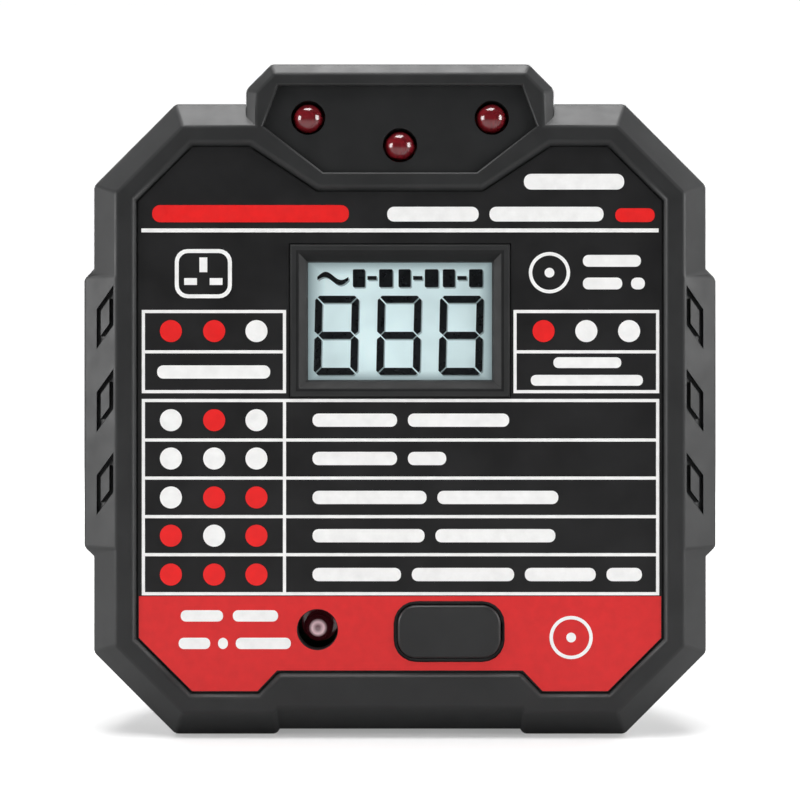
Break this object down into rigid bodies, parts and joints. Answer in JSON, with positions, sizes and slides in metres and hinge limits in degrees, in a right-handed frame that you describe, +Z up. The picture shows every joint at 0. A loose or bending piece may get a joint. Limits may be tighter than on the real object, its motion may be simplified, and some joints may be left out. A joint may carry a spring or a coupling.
{
  "type": "outlet tester plug",
  "caption": "Hand-sized mains socket tester: faceted two-part casing with a lamp head, display, printed panel and test button on the front, and a rectangular-pin plug boss behind.",
  "frame": {"origin": "on the plug's contact face, at the centre of the plate that carries the pins, midway in height between the line pins and the earth pin", "axes": "+Y along the pins into the socket, the display faces -Y, +X to the right seen from the front, +Z up with the earth pin uppermost"},
  "size_m": [0.0652, 0.0589, 0.0688],
  "materials": {
    "casing_plastic": "fine satin moulded ABS",
    "carrier_plastic": "fine satin moulded insert",
    "label_film": "printed polycarbonate film, black with a red band and white marks",
    "window_clear": "clear polished lens",
    "lcd_cell": "pale blue-grey reflective cell with dark segments",
    "holder_white": "white moulded",
    "diffuser_white": "frosted light guide",
    "contact_rubber": "layered conductive elastomer",
    "board_laminate": "solder-masked glass laminate",
    "lamp_red": "deep red tinted epoxy",
    "leg_tin": "tinned wire",
    "pin_nickel": "bright nickel plating on brass",
    "screw_steel": "zinc-plated steel",
    "button_plastic": "smooth satin keycap",
    "switch_black": "moulded switch base",
    "switch_steel": "thin pressed steel",
    "plunger_plastic": "moulded plunger",
    "dome_metal": "sprung stainless dome",
    "retainer_plastic": "pale insulating plate",
    "resistor_body": "coated wire-wound body",
    "fuse_body": "flameproof coating",
    "film_case": "yellow moulded case",
    "drum_sleeve": "dark heat-shrunk sleeve",
    "diode_glass": "moulded epoxy",
    "chip_epoxy": "moulded epoxy with tinned legs",
    "triac_epoxy": "moulded epoxy with tinned legs",
    "wire_brown": "PVC insulation",
    "wire_blue": "PVC insulation",
    "wire_green": "PVC insulation"
  },
  "bodies": {
    "case": {"backlight_diffuser": "diffuser_white", "board_screws": "screw_steel", "carrier_screws": "screw_steel", "display_window": "window_clear", "dropper_capacitor": "film_case", "earth_led": "lamp_red", "earth_pin": "pin_nickel", "earth_wire": "wire_green", "filter_capacitor": "drum_sleeve", "front_cover": "casing_plastic", "front_label": "label_film", "fusible_resistor": "fuse_body", "lcd_glass": "lcd_cell", "lcd_holder": "holder_white", "led_legs": "leg_tin", "live_led": "lamp_red", "live_pin": "pin_nickel", "live_wire": "wire_brown", "load_resistor": "resistor_body", "main_board": "board_laminate", "microcontroller": "chip_epoxy", "neutral_led": "lamp_red", "neutral_pin": "pin_nickel", "neutral_wire": "wire_blue", "pin_carrier": "carrier_plastic", "pin_retainer": "retainer_plastic", "rcd_led": "lamp_red", "rear_housing": "casing_plastic", "rectifier_diodes": "diode_glass", "retainer_screws": "screw_steel", "switch_base": "switch_black", "switch_cover": "switch_steel", "switch_dome": "dome_metal", "switch_terminals": "leg_tin", "test_triac": "triac_epoxy", "zebra_strips": "contact_rubber"},
    "button": {"test_button": "button_plastic"},
    "plunger": {"switch_plunger": "plunger_plastic"}
  },
  "joints": [
    {"name": "button_press", "type": "slide", "parent": "case", "child": "button", "axis": [0, 1, 0], "range_m": [0, 0.0003]},
    {"name": "plunger_press", "type": "slide", "parent": "case", "child": "plunger", "axis": [0, 1, 0], "range_m": [0, 0.0003], "deforming": ["switch_dome"]}
  ],
  "couplings": [
    {"joint": "plunger_press", "follows": "button_press", "ratio": 1}
  ]
}
